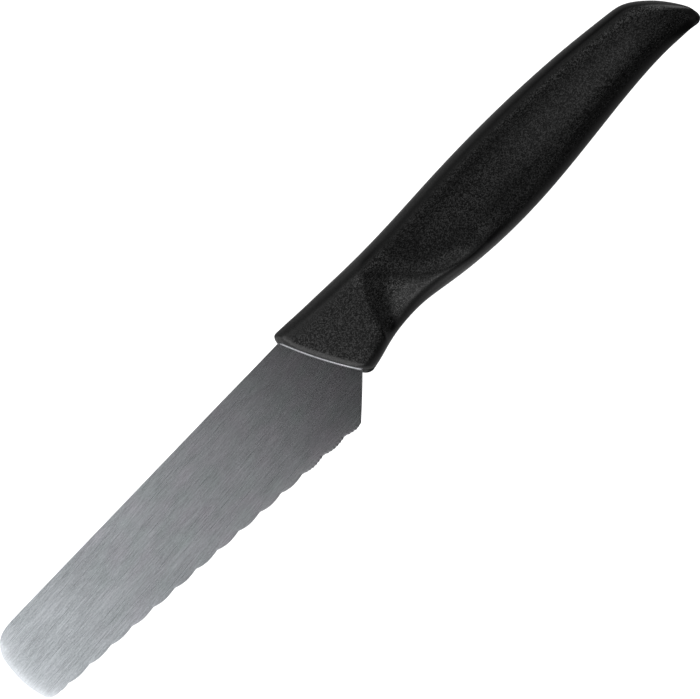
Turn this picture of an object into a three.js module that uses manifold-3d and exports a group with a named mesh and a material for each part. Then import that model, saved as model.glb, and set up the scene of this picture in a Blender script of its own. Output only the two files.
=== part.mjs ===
// Bread roll knife: a stamped sheet-steel blade with a wavy cutting edge, and a one-piece plastic
// grip moulded over the blade's tang. Millimetres, +Z up.
//
// The knife lies on its side. +X runs along the spine from the tip to the butt, +Y points from the
// cutting edge to the spine, +Z is the flat side of the blade that carries no grind. The outlines
// below are given in knife coordinates: x from the tip, y from the spine line, z from the middle
// of the sheet. The whole group is then moved so that its origin is at the bottom centre of its box.

import * as THREE from 'three';
import { mergeVertices } from 'three/addons/utils/BufferGeometryUtils.js';
import Module from 'manifold-3d';

// ---------------------------------------------------------------- driving dimensions (mm)
const BLADE_T = 1.0; // sheet thickness
const EDGE_T = 0.2; // thickness left at the ground edge
const BEVEL_W = 3.8; // width of the grind on the reverse side
const EDGE_Y_TIP = -18.85; // mean line of the cutting edge, at the tip end (x = 0)
const EDGE_SLOPE = -0.0787; // fall of that line per mm towards the heel
const WAVE_FIRST = 6.95; // x of the first hollow between two lobes
const WAVE_PITCH = 6.44; // length of one lobe
const WAVE_COUNT = 14; // lobes along the edge
const WAVE_OUT = 0.2; // lobe crest beyond the mean line
const WAVE_IN = 0.28; // hollow inside the mean line
const WAVE_STEPS = 8; // points on one lobe

const MOUTH_TOP = [95.4, -0.1]; // where the spine enters the grip
const MOUTH_BOTTOM = [104.0, -17.8]; // where the heel enters the grip
const HEEL_CORNER = [95.2, -26.15]; // lower end of the straight heel

const TANG_END_X = 166; // end of the hidden tang
const TANG_W_FRONT = 11; // tang width behind the shoulders
const TANG_W_END = 8; // tang width at its end
const TANG_MID_Y_FRONT = -9.2;
const TANG_MID_Y_END = -9.8;
const SHOULDER_IN = 3.0; // full blade width runs this far into the grip
const HOLE_R = 2.5; // anchor holes through the tang
const HOLES = [
  [126, -9.3],
  [150, -9.6],
];
const HOLE_SIDES = 20;
const FIT = 0.25; // room between tang and grip

const GRIP_T = 12.8; // thickness over the two flat cheeks
const GRIP_CROWN = 0.2; // height of the crown that the cheeks' flats take off
const GRIP_ROUND = 2.7; // how square the cross-section is (2 = ellipse)
const MOUTH_RIM = 1.2; // rounding of the front rim
const GRIP_STATIONS = 46;
const GRIP_SIDES = 28;

// Tip of the blade, from the spine round to the cutting edge.
const TIP = [
  [8.4, 0], [6.4, -0.14], [4.6, -0.5], [3.1, -1.3], [2.05, -2.3], [1.35, -3.3], [0.75, -4.7], [0.3, -6.8],
  [0.05, -9.5], [0, -11.3], [0.12, -13.1], [0.4, -14.9], [0.75, -16.6], [1.05, -17.6], [1.75, -18.5], [3.1, -19.0], [4.9, -19.1],
];

// Grip outline on the spine side, from the mouth to the butt.
const GRIP_TOP = [
  [94.9, 1.05], [96.7, 1.9], [102.4, 1.54], [109.6, 1.18], [116.8, 0.82], [124.1, 0.59], [131.3, 0.59], [138.5, 0.79],
  [145.8, 1.04], [153.0, 1.18], [160.2, 1.11], [167.5, 0.86], [174.7, 0.54], [181.9, 0.05], [189.2, -0.72], [196.4, -1.65],
  [201.8, -2.46], [204.2, -3.05], [206.3, -4.3], [209.1, -6.75], [212.7, -11.1], [214.5, -14.0], [215.0, -16.4],
];
// Grip outline on the belly side, from the mouth to the butt.
const GRIP_BOTTOM = [
  [104.35, -18.9], [106.1, -19.8], [109.6, -19.03], [113.2, -18.24], [116.8, -17.67], [120.5, -17.31], [124.1, -17.38],
  [127.7, -17.9], [131.3, -18.53], [138.5, -19.68], [145.8, -20.34], [153.0, -20.63], [160.2, -20.52], [167.5, -20.23],
  [174.7, -19.68], [181.9, -18.92], [189.2, -18.26], [196.4, -17.85], [201.8, -17.7], [205.4, -17.79], [209.1, -18.03],
  [212.2, -18.4], [214.2, -18.1], [215.0, -16.4],
];
// Half thickness of the grip along its length, [fraction of the outline, mm].
const FULL = GRIP_T / 2 + GRIP_CROWN;
const GRIP_HALF = [
  [0, FULL], [0.1, FULL], [0.15, FULL - 0.25], [0.2, 5.35], [0.25, 5.2], [0.3, 5.75], [0.37, 6.45], [0.42, FULL], [0.62, FULL],
  [0.7, 6.15], [0.78, 5.5], [0.86, 4.9], [0.93, 4.1], [0.975, 2.9], [1, 0],
];

// ---------------------------------------------------------------- helpers
const wasm = await Module();
wasm.setup();

function toSolid(geometry) {
  const g = geometry.clone();
  for (const name of Object.keys(g.attributes)) if (name !== 'position') g.deleteAttribute(name);
  const m = mergeVertices(g, 1e-4);
  return new wasm.Manifold(new wasm.Mesh({
    numProp: 3,
    vertProperties: new Float32Array(m.attributes.position.array),
    triVerts: new Uint32Array(m.index.array),
  }));
}

function toGeometry(solid) {
  const mesh = solid.getMesh();
  const pos = new Float32Array(mesh.numVert * 3);
  for (let i = 0; i < mesh.numVert; i++) {
    for (let k = 0; k < 3; k++) pos[3 * i + k] = mesh.vertProperties[mesh.numProp * i + k];
  }
  const g = new THREE.BufferGeometry();
  g.setAttribute('position', new THREE.BufferAttribute(pos, 3));
  g.setIndex(new THREE.BufferAttribute(new Uint32Array(mesh.triVerts), 1));
  g.computeVertexNormals();
  return g;
}

function indexed(points, triangles) {
  const g = new THREE.BufferGeometry();
  g.setAttribute('position', new THREE.BufferAttribute(new Float32Array(points.flat()), 3));
  g.setIndex(triangles.flat());
  g.computeVertexNormals();
  return g;
}

// Height from a list of [position, value], eased between its entries.
function along(table, s) {
  for (let i = 1; i < table.length; i++) {
    const [a, va] = table[i - 1];
    const [b, vb] = table[i];
    if (s <= b) {
      const t = (s - a) / (b - a);
      return va + (vb - va) * (b === 1 ? t : t * t * (3 - 2 * t));
    }
  }
  return table[table.length - 1][1];
}

// A closed polygon (counter-clockwise) moved outwards by d.
function grow(poly, d) {
  const n = poly.length;
  return poly.map((p, i) => {
    const a = poly[(i + n - 1) % n];
    const b = poly[(i + 1) % n];
    const n1 = new THREE.Vector2(p[1] - a[1], a[0] - p[0]).normalize();
    const n2 = new THREE.Vector2(b[1] - p[1], p[0] - b[0]).normalize();
    const m = n1.clone().add(n2);
    m.multiplyScalar(d / m.dot(n1));
    return [p[0] + m.x, p[1] + m.y];
  });
}

const circle = (c, r, n) => Array.from({ length: n }, (_, i) => {
  const a = (2 * Math.PI * i) / n;
  return [c[0] + r * Math.cos(a), c[1] + r * Math.sin(a)];
});

const prism = (poly, z0, z1) => {
  const g = new THREE.ExtrudeGeometry(new THREE.Shape(poly.map((p) => new THREE.Vector2(...p))), {
    depth: z1 - z0, bevelEnabled: false, steps: 1,
  });
  g.translate(0, 0, z0);
  return g;
};

// ---------------------------------------------------------------- tang outline
// The hidden end of the sheet, from where the heel enters the grip round to where the spine does.
const tangTop = (x) => THREE.MathUtils.mapLinear(x, 100, TANG_END_X, TANG_MID_Y_FRONT, TANG_MID_Y_END)
  + THREE.MathUtils.mapLinear(x, 100, TANG_END_X, TANG_W_FRONT, TANG_W_END) / 2;
const tangBottom = (x) => THREE.MathUtils.mapLinear(x, 100, TANG_END_X, TANG_MID_Y_FRONT, TANG_MID_Y_END)
  - THREE.MathUtils.mapLinear(x, 100, TANG_END_X, TANG_W_FRONT, TANG_W_END) / 2;
const R = TANG_W_END / 2;
const tangNose = Array.from({ length: 9 }, (_, i) => {
  const a = -Math.PI / 2 + (Math.PI * i) / 8;
  return [TANG_END_X - R + R * Math.cos(a), TANG_MID_Y_END + R * Math.sin(a)];
});
const hidden = [
  [MOUTH_BOTTOM[0] + SHOULDER_IN - 0.4, MOUTH_BOTTOM[1] + 0.5],
  [MOUTH_BOTTOM[0] + SHOULDER_IN - 1.2, tangBottom(106)],
  ...tangNose,
  [MOUTH_TOP[0] + SHOULDER_IN + 1.6, tangTop(100)],
  [MOUTH_TOP[0] + SHOULDER_IN, MOUTH_TOP[1] - 0.6],
];

// ---------------------------------------------------------------- blade
function makeBlade() {
  const zf = BLADE_T / 2;
  const zb = -BLADE_T / 2;
  const mean = (x) => EDGE_Y_TIP + EDGE_SLOPE * x;

  // Cutting edge, tip to heel: round lobes that meet in tighter hollows.
  const edge = [];
  for (let lobe = 0; lobe < WAVE_COUNT; lobe++) {
    for (let k = 0; k < WAVE_STEPS; k++) {
      const f = k / WAVE_STEPS;
      const x = WAVE_FIRST + (lobe + f) * WAVE_PITCH;
      if (x > HEEL_CORNER[0] - 0.8) break;
      const bow = Math.pow(Math.abs(1 - 2 * Math.pow(f, 0.85)), 1.7);
      edge.push([x, mean(x) - WAVE_OUT + (WAVE_OUT + WAVE_IN) * bow]);
    }
  }

  const pts = []; // [x, y, front z, back z]
  const add = (p, back) => pts.push([p[0], p[1], zf, back]) - 1;
  const grindX = [10, 36, 62, 94.4];
  const spineX = [null, 36, 62, 88];

  const tip = TIP.map((p, i) => {
    const f = THREE.MathUtils.smoothstep(i, TIP.length - 6, TIP.length); // grind fades in round the lower corner
    return add(p, zb + (zf - EDGE_T - zb) * f);
  });
  const edgeIds = edge.map((p) => add(p, zf - EDGE_T));
  const corner = add(HEEL_CORNER, zb);
  const heelIn = add(MOUTH_BOTTOM, zb);
  const hid = hidden.map((p) => add(p, zb));
  const spineIn = add(MOUTH_TOP, zb);
  const spine = spineX.map((x, i) => (i === 0 ? tip[0] : add([x, 0], zb)));
  const grind = grindX.map((x) => add([x, mean(x) + BEVEL_W], zb));
  const holes = HOLES.map((c) => circle(c, HOLE_R, HOLE_SIDES).reverse().map((p) => add(p, zb)));

  const v2 = (i) => new THREE.Vector2(pts[i][0], pts[i][1]);
  const faces = [];
  const fill = (loop, cut = []) => {
    const all = [...loop, ...cut.flat()];
    for (const [a, b, c] of THREE.ShapeUtils.triangulateShape(loop.map(v2), cut.map((h) => h.map(v2)))) {
      const [p, q, r] = [all[a], all[b], all[c]];
      const area = v2(q).sub(v2(p)).cross(v2(r).sub(v2(p)));
      faces.push(area > 0 ? [p, q, r] : [p, r, q]);
    }
  };
  // tip, then the ground strip along the edge
  fill([...tip, edgeIds[0], grind[0]]);
  fill([...edgeIds, corner, ...[...grind].reverse()]);
  // plain flat between the spine and the grind
  for (let i = 0; i + 1 < spine.length; i++) {
    faces.push([spine[i + 1], spine[i], grind[i]], [spine[i + 1], grind[i], grind[i + 1]]);
  }
  // heel and tang
  fill([spine[3], grind[3], corner, heelIn, ...hid, spineIn], holes);

  const outline = [...tip, ...edgeIds, corner, heelIn, ...hid, spineIn, spine[3], spine[2], spine[1]];
  const n = pts.length;
  const xyz = [...pts.map((p) => [p[0], p[1], p[2]]), ...pts.map((p) => [p[0], p[1], p[3]])];
  const tris = [];
  for (const [a, b, c] of faces) tris.push([a, b, c], [n + a, n + c, n + b]);
  for (const loop of [outline, ...holes]) {
    loop.forEach((a, i) => {
      const b = loop[(i + 1) % loop.length];
      tris.push([a, n + a, n + b], [a, n + b, b]);
    });
  }
  return indexed(xyz, tris);
}

// ---------------------------------------------------------------- grip
function makeGrip() {
  const top = new THREE.SplineCurve(GRIP_TOP.map((p) => new THREE.Vector2(...p)));
  const bottom = new THREE.SplineCurve(GRIP_BOTTOM.map((p) => new THREE.Vector2(...p)));
  const mouthDir = new THREE.Vector2(MOUTH_BOTTOM[0] - MOUTH_TOP[0], MOUTH_BOTTOM[1] - MOUTH_TOP[1]).normalize();
  const into = new THREE.Vector2(-mouthDir.y, mouthDir.x); // from the mouth into the grip

  const points = [];
  const rings = [];
  const ring = (a, b, half, shift, inset) => {
    const ids = [];
    const width = a.distanceTo(b);
    for (let i = 0; i < GRIP_SIDES; i++) {
      const t = (2 * Math.PI * (i + 0.5)) / GRIP_SIDES;
      const c = Math.cos(t);
      const s = Math.sin(t);
      const y = Math.sign(c) * Math.pow(Math.abs(c), 2 / GRIP_ROUND) * (1 - (2 * inset) / width);
      const z = Math.sign(s) * Math.pow(Math.abs(s), 2 / GRIP_ROUND) * (half - inset);
      const p = a.clone().lerp(b, (1 - y) / 2);
      ids.push(points.push([p.x + shift.x, p.y + shift.y, z]) - 1);
    }
    rings.push(ids);
  };

  const none = new THREE.Vector2();
  const a0 = top.getPointAt(0);
  const b0 = bottom.getPointAt(0);
  ring(a0, b0, FULL, into.clone().multiplyScalar(-0.35 * MOUTH_RIM), MOUTH_RIM);
  ring(a0, b0, FULL, into.clone().multiplyScalar(0.1), 0.35 * MOUTH_RIM);
  for (let i = 0; i < GRIP_STATIONS; i++) {
    const f = i / GRIP_STATIONS;
    const s = 0.012 + 0.988 * (f < 0.8 ? f : 0.8 + 0.2 * Math.sin(((f - 0.8) / 0.2) * Math.PI / 2));
    if (s > 0.998) break;
    ring(top.getPointAt(s), bottom.getPointAt(s), along(GRIP_HALF, s), none, 0);
  }
  const end = points.push([top.getPointAt(1).x, top.getPointAt(1).y, 0]) - 1;

  const tris = [];
  for (let r = 0; r + 1 < rings.length; r++) {
    for (let i = 0; i < GRIP_SIDES; i++) {
      const j = (i + 1) % GRIP_SIDES;
      tris.push([rings[r][i], rings[r][j], rings[r + 1][j]], [rings[r][i], rings[r + 1][j], rings[r + 1][i]]);
    }
  }
  const last = rings[rings.length - 1];
  last.forEach((a, i) => tris.push([a, last[(i + 1) % GRIP_SIDES], end]));
  const first = rings[0];
  for (let i = 1; i + 1 < GRIP_SIDES; i++) tris.push([first[0], first[i + 1], first[i]]);

  // outward facing?
  let volume = 0;
  for (const [a, b, c] of tris) {
    const [p, q, r] = [points[a], points[b], points[c]].map((k) => new THREE.Vector3(...k));
    volume += p.dot(q.cross(r)) / 6;
  }
  const body = indexed(points, volume > 0 ? tris : tris.map(([a, b, c]) => [a, c, b]));

  // flat cheeks
  const slab = new THREE.BoxGeometry(600, 200, GRIP_T);
  let solid = toSolid(body).intersect(toSolid(slab));

  // pocket for the tang, open at the mouth, with the plastic columns that fill its holes
  const out = into.clone().multiplyScalar(-6);
  const pocketLoop = grow([
    [MOUTH_TOP[0] + out.x, MOUTH_TOP[1] + out.y - 0.001], [MOUTH_BOTTOM[0] + out.x, MOUTH_BOTTOM[1] + out.y],
    MOUTH_BOTTOM, ...hidden, MOUTH_TOP,
  ], FIT);
  let pocket = toSolid(prism(pocketLoop, -BLADE_T / 2 - FIT, BLADE_T / 2 + FIT));
  for (const c of HOLES) pocket = pocket.subtract(toSolid(prism(circle(c, HOLE_R - FIT, HOLE_SIDES), -3, 3)));
  return toGeometry(solid.subtract(pocket));
}

// ---------------------------------------------------------------- the knife
const blade = new THREE.Mesh(makeBlade(), new THREE.MeshStandardMaterial({ color: 0xa9adb1, roughness: 0.38, metalness: 1.0 }));
blade.name = 'blade';

const handle = new THREE.Mesh(makeGrip(), new THREE.MeshStandardMaterial({ color: 0x17171a, roughness: 0.55, metalness: 0.0 }));
handle.name = 'handle';

const knife = new THREE.Group();
knife.add(blade, handle);
const box = new THREE.Box3().setFromObject(knife);
knife.position.set(-(box.min.x + box.max.x) / 2, -(box.min.y + box.max.y) / 2, -box.min.z);

export default knife;
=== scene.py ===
import math

import bpy
import numpy as np
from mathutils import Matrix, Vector
from mathutils.geometry import tessellate_polygon


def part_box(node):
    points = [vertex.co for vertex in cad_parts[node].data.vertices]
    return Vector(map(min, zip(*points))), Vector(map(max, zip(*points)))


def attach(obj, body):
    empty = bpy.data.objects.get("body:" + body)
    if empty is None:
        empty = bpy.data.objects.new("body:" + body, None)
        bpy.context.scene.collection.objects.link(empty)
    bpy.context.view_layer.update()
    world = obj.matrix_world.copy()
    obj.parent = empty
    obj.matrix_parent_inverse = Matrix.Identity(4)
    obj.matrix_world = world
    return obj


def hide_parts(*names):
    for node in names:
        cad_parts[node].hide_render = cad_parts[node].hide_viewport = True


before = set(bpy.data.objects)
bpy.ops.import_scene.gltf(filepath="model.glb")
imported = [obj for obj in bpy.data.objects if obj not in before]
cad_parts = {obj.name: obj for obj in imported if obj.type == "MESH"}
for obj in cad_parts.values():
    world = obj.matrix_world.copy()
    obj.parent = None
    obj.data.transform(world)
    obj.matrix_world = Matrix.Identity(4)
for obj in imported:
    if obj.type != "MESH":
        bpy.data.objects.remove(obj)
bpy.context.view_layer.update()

# ------------------------------------------------------------------------------------------------
# Knife coordinates, in millimetres: x from the tip along the spine, y from the spine line towards
# the back, z from the middle of the blade's sheet. The CAD blade says where they lie in the frame.
# ------------------------------------------------------------------------------------------------
b_lo, b_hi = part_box("blade")
TIP_X, SPINE_Y, MID_Z = b_lo.x, b_hi.y, (b_lo.z + b_hi.z) / 2
SHEET = (b_hi.z - b_lo.z) * 1000 / 2  # half the sheet's thickness


def to_frame(p):
    p = np.asarray(p, float) / 1000
    return p + np.array([TIP_X, SPINE_Y, MID_Z])


# ------------------------------------------------------------------------------------------------
# helpers
# ------------------------------------------------------------------------------------------------
def smooth(a, b, x):
    t = np.clip((np.asarray(x, float) - a) / (b - a), 0, 1)
    return t * t * (3 - 2 * t)


def spline(points, samples=4000):
    """A smooth curve through the points. Returns f(s) for s from 0 to 1 of its length, and that length."""
    p = np.array(points, float)
    t = np.r_[0, np.cumsum(np.linalg.norm(np.diff(p, axis=0), axis=1))]
    n, h = len(p), np.diff(t)
    a, r = np.zeros((n, n)), np.zeros((n, p.shape[1]))
    a[0, 0] = a[-1, -1] = 1
    for i in range(1, n - 1):
        a[i, i - 1], a[i, i], a[i, i + 1] = h[i - 1], 2 * (h[i - 1] + h[i]), h[i]
        r[i] = 6 * ((p[i + 1] - p[i]) / h[i] - (p[i] - p[i - 1]) / h[i - 1])
    m = np.linalg.solve(a, r)
    q = np.linspace(0, t[-1], samples)
    i = np.clip(np.searchsorted(t, q, side="right") - 1, 0, n - 2)
    d0, d1, hh = (t[i + 1] - q)[:, None], (q - t[i])[:, None], h[i][:, None]
    c = (m[i] * d0**3 + m[i + 1] * d1**3) / (6 * hh) + (p[i] / hh - m[i] * hh / 6) * d0 + (p[i + 1] / hh - m[i + 1] * hh / 6) * d1
    arc = np.r_[0, np.cumsum(np.linalg.norm(np.diff(c, axis=0), axis=1))]

    def f(s):
        s = np.asarray(s, float) * arc[-1]
        return np.stack([np.interp(s, arc, c[:, k]) for k in range(p.shape[1])], -1)

    return f, arc[-1]


def table(pairs, x):
    """Smooth (monotone) interpolation through a table of x, value."""
    xs, ys = np.array(pairs, float).T
    d = np.diff(ys) / np.diff(xs)
    m = np.r_[d[0], np.where(d[1:] * d[:-1] > 0, 2 * d[1:] * d[:-1] / (d[1:] + d[:-1] + 1e-30), 0), d[-1]]
    x = np.clip(np.asarray(x, float), xs[0], xs[-1])
    i = np.clip(np.searchsorted(xs, x, side="right") - 1, 0, len(xs) - 2)
    h = xs[i + 1] - xs[i]
    t = (x - xs[i]) / h
    return ((1 + 2 * t) * (1 - t) ** 2 * ys[i] + t * (1 - t) ** 2 * h * m[i]
            + t * t * (3 - 2 * t) * ys[i + 1] + t * t * (t - 1) * h * m[i + 1])


def distance_to(line, pts):
    """Distance in the plane from each point to a polyline."""
    line, pts = np.asarray(line, float), np.asarray(pts, float)
    best = np.full(len(pts), 1e9)
    for a, b in zip(line[:-1], line[1:]):
        ab = b - a
        t = np.clip(((pts - a) @ ab) / max(ab @ ab, 1e-12), 0, 1)
        best = np.minimum(best, np.linalg.norm(pts - a - t[:, None] * ab, axis=1))
    return best


def make_piece(name, verts_mm, faces, material, sharp_deg):
    me = bpy.data.meshes.new(name)
    me.from_pydata([tuple(v) for v in to_frame(verts_mm)], [], faces)
    me.validate()
    me.polygons.foreach_set("use_smooth", [True] * len(me.polygons))
    me.set_sharp_from_angle(angle=math.radians(sharp_deg))
    me.materials.append(material)
    ob = bpy.data.objects.new(name, me)
    bpy.context.scene.collection.objects.link(ob)
    return ob


def point_values(ob, name, values):
    at = ob.data.attributes.new(name, "FLOAT", "POINT")
    at.data.foreach_set("value", np.asarray(values, np.float32))


def outward(verts, faces):
    """Faces turned so that the closed body's volume is positive."""
    v = np.asarray(verts, float)
    vol = 0.0
    for f in faces:
        for i in range(1, len(f) - 1):
            vol += np.dot(v[f[0]], np.cross(v[f[i]], v[f[i + 1]]))
    return faces if vol > 0 else [tuple(reversed(f)) for f in faces]


# ------------------------------------------------------------------------------------------------
# shared outline: the mouth of the grip, and the hidden tang
# ------------------------------------------------------------------------------------------------
MOUTH_T, MOUTH_B = np.array([95.467, 0.0]), np.array([104.26, -17.9])  # where spine and heel enter the grip
MOUTH_DIR = (MOUTH_B - MOUTH_T) / np.linalg.norm(MOUTH_B - MOUTH_T)
INTO = np.array([-MOUTH_DIR[1], MOUTH_DIR[0]])  # from the mouth into the grip
MOUTH_BOW = 0.55  # the mouth bulges this far towards the tip

TANG = [(106.2, -17.2), (105.4, -14.75)]
TANG += [(162 + 4 * math.cos(a), -9.8 + 4 * math.sin(a)) for a in np.linspace(-math.pi / 2, math.pi / 2, 15)]
TANG += [(100.0, -3.7), (98.4, -0.7)]
HOLES = [(126.0, -9.3), (150.0, -9.6)]
HOLE_R = 2.5


def circle(c, r, n=32):
    return [(c[0] + r * math.cos(2 * math.pi * i / n), c[1] + r * math.sin(2 * math.pi * i / n)) for i in range(n)]


def fill(loops, verts):
    """Triangles between an outer loop and its holes, all given as vertex numbers, facing +Z."""
    flat = [i for loop in loops for i in loop]
    tris = tessellate_polygon([[Vector((verts[i][0], verts[i][1], 0)) for i in loop] for loop in loops])
    out = []
    for t in tris:
        a, b, c = (flat[i] for i in t)
        pa, pb, pc = (np.array(verts[i][:2]) for i in (a, b, c))
        area = np.cross(pb - pa, pc - pa)
        if abs(area) > 1e-12:
            out.append((a, b, c) if area > 0 else (a, c, b))
    return out


# ------------------------------------------------------------------------------------------------
# blade
# ------------------------------------------------------------------------------------------------
EDGE_Y, EDGE_SLOPE = -18.85, -0.0787  # mean line of the cutting edge
WAVE_FIRST, WAVE_PITCH = 6.95, 6.435  # hollows between the lobes
WAVE_OUT, WAVE_IN, WAVE_GROWS = 0.15, 0.3, 0.0016  # lobes, hollows, and how much deeper these get per millimetre
TOOTH_PITCH, TOOTH_DEEP = 0.92, 0.13  # fine teeth on the lobes next to the heel
SPINE_FALL = 0.07  # how much lower the spine is at the grip than at the tip
HEEL, HEEL_BULGE = np.array([95.2, -26.15]), 0.08
TIP_UP = [(0, -11.3), (0.05, -9.5), (0.3, -6.8), (0.75, -4.7), (1.35, -3.3), (2.05, -2.3), (3.1, -1.3), (4.6, -0.5), (6.4, -0.12), (8.4, 0)]
TIP_LOW = [(0, -11.3), (0.12, -13.1), (0.4, -14.9), (0.75, -16.6), (1.1, -17.6), (1.8, -18.5), (3.1, -19.0), (5.0, -19.15)]


def wave(x):
    """Offset of the cutting edge from its mean line, and how far into a hollow (1) or on a crest (0) x is."""
    f = np.mod((x - WAVE_FIRST) / WAVE_PITCH, 1.0)
    bow = np.abs(1 - 2 * f**0.85) ** 1.7
    return -WAVE_OUT + (WAVE_OUT + WAVE_IN + WAVE_GROWS * x) * bow, bow


def edge_y(x):
    w, _ = wave(x)
    saw = np.abs(np.mod(x / TOOTH_PITCH, 1.0) * 2 - 1)
    teeth = TOOTH_DEEP * (saw - 0.5) * smooth(76, 79, x) * (1 - smooth(93.6, 94.4, x))
    run_in = smooth(4.8, 7.2, x)
    end = 1 - smooth(94.0, 95.2, x)
    return EDGE_Y + EDGE_SLOPE * x + (w * run_in + teeth) * end + (1 - end) * (HEEL[1] - EDGE_Y - EDGE_SLOPE * HEEL[0])


def build_blade():
    up, _ = spline(TIP_UP)
    low, _ = spline(TIP_LOW)
    ext = 0.9  # the grid runs this far past the mouth, along its normal
    mouth_t = MOUTH_T + np.array([ext / INTO[0], 0])
    heel_dir = (MOUTH_B - HEEL) / np.linalg.norm(MOUTH_B - HEEL)
    mouth_b = MOUTH_B + heel_dir * ext / (heel_dir @ INTO)
    back = (mouth_b - HEEL) @ INTO  # how far before the end the heel corner lies
    spine_heel = np.array([mouth_t[0] - back / INTO[0], 0.0])

    s_tip = np.r_[np.linspace(0, 1, 46)[:-1] ** 1.15]
    s_edge = np.unique(np.r_[np.arange(5.0, 76, 0.29), np.arange(76, HEEL[0], 0.115), HEEL[0]])
    e_heel = np.linspace(0, 1, 46)[1:]
    e_heel = np.unique(np.r_[e_heel, 1 - np.array([0.02, 0.035, 0.05, 0.06, 0.07, 0.08, 0.09, 0.1, 0.11, 0.125]) * 11.4 / 12.8])

    S, E = [], []
    S += list(up(s_tip)); E += list(low(s_tip))
    k = (s_edge - 5.0) / (HEEL[0] - 5.0)
    S += [np.array([8.4 + (spine_heel[0] - 8.4) * t, 0.0]) for t in k]
    E += [np.array([x, edge_y(x)]) for x in s_edge]
    S += [spine_heel + (mouth_t - spine_heel) * t for t in e_heel]
    side = np.array([heel_dir[1], -heel_dir[0]])
    E += [HEEL + (mouth_b - HEEL) * t + side * HEEL_BULGE * 4 * t * (1 - t) for t in e_heel]  # the heel is slightly convex
    S, E = np.array(S), np.array(E)
    kind = np.r_[np.zeros(len(s_tip)), np.ones(len(s_edge)), np.full(len(e_heel), 2)]

    width = np.linalg.norm(E - S, axis=1)
    near = np.array([0, 0.02, 0.06, 0.12, 0.2, 0.32, 0.5])
    grind = np.array([5.6, 4.9, 4.2, 3.6, 3.0, 2.4, 1.8, 1.3, 0.9, 0.6, 0.35, 0.18, 0.08, 0.03, 0])
    mid = np.linspace(0, 1, 7)[1:-1]
    rows = []
    for i in range(len(S)):
        w = max(width[i], 1e-9)
        k = min(1.0, w / 14.0)
        d = np.r_[near * k, 0.5 * k + (w - 6.1 * k) * mid, w - grind * k]
        rows.append(d / w)
    rows = np.array(rows)
    nA, nB = rows.shape
    P = S[:, None] + (E - S)[:, None] * rows[:, :, None]

    # the mouth end bows towards the tip
    along = np.linspace(0, 1, nB)[None]
    along = rows
    to_end = (mouth_t - MOUTH_T) @ INTO - (P - MOUTH_T) @ INTO
    fade = 1 - smooth(0, 9, np.maximum(0, (MOUTH_T - P) @ INTO))
    bow = MOUTH_BOW * (1 - (2 * along - 1) ** 2) * fade * (kind == 2)[:, None]
    P = P - bow[..., None] * INTO

    P[..., 1] -= SPINE_FALL * smooth(74, 90, P[..., 0]) * (1 - rows)

    flat = P.reshape(-1, 2)
    tip_line = np.r_[up(np.linspace(1, 0, 120)), low(np.linspace(0, 1, 80))[1:]]
    tip_line = tip_line[tip_line[:, 0] < 2.2]  # the blunt end, without its corners
    d_tip = distance_to(tip_line, flat).reshape(nA, nB)
    near_tip = flat.reshape(nA, nB, 2)[..., 0] < 14
    d_heel = distance_to([HEEL, mouth_b], flat).reshape(nA, nB)
    d_spine = np.abs(flat.reshape(nA, nB, 2)[..., 1])

    # front: the tip is rolled off broadly, the heel and spine by the stamping
    front = np.full((nA, nB), SHEET)
    corner = smooth(2.0, 12.0, flat.reshape(nA, nB, 2)[..., 0])  # the broad roll fades out along the corners
    drop_tip = (0.028 * np.exp(-d_tip / 0.55) + 0.094 * np.exp(-d_tip / 2.6)) * (1 - corner)
    front -= np.where(near_tip, drop_tip, 0)
    spine_on = np.where(kind[:, None] == 0, 0.0, 1.0)
    front -= spine_on * 0.05 * np.clip(1 - d_spine / 0.7, 0, 1) ** 2
    front -= (kind == 2)[:, None] * 0.02 * np.clip(1 - d_heel / 0.2, 0, 1) ** 1.6
    # coined bead along the mouth
    d_mouth = (MOUTH_T - P) @ INTO - MOUTH_BOW * (1 - (2 * along - 1) ** 2)
    bead = 0.1 * (1 - smooth(0.02, 0.28, d_mouth)) * (kind == 2)[:, None]
    front += bead * smooth(0.0, 0.5, d_heel) * smooth(0.0, 0.3, d_spine)

    q = width[:, None] * (1 - rows)
    front -= (kind == 1)[:, None] * 0.03 * np.clip(1 - q / 0.6, 0, 1) ** 2 * smooth(8, 14, E[:, 0])[:, None]

    # back: the grind, scalloped lobe by lobe
    rear = np.full((nA, nB), -SHEET)
    rear += np.where(near_tip, 0.6 * drop_tip, 0)
    rear += spine_on * 0.10 * np.clip(1 - d_spine / 0.22, 0, 1) ** 2
    rear += (kind == 2)[:, None] * 0.07 * np.clip(1 - d_heel / 0.4, 0, 1) ** 1.6
    rear -= bead * smooth(0.0, 0.5, d_heel) * smooth(0.0, 0.3, d_spine)
    _, hollow = wave(E[:, 0])
    reach = 3.0 + 1.5 * hollow
    strength = np.where(kind == 1, smooth(5.0, 8.5, E[:, 0]) * (1 - smooth(93.4, 95.2, E[:, 0])), 0)
    cut = (2 * SHEET - 0.06) * np.clip(1 - q / reach[:, None], 0, 1) ** 1.25 * strength[:, None]
    rear = np.minimum(rear + cut, front - 0.05)

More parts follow.
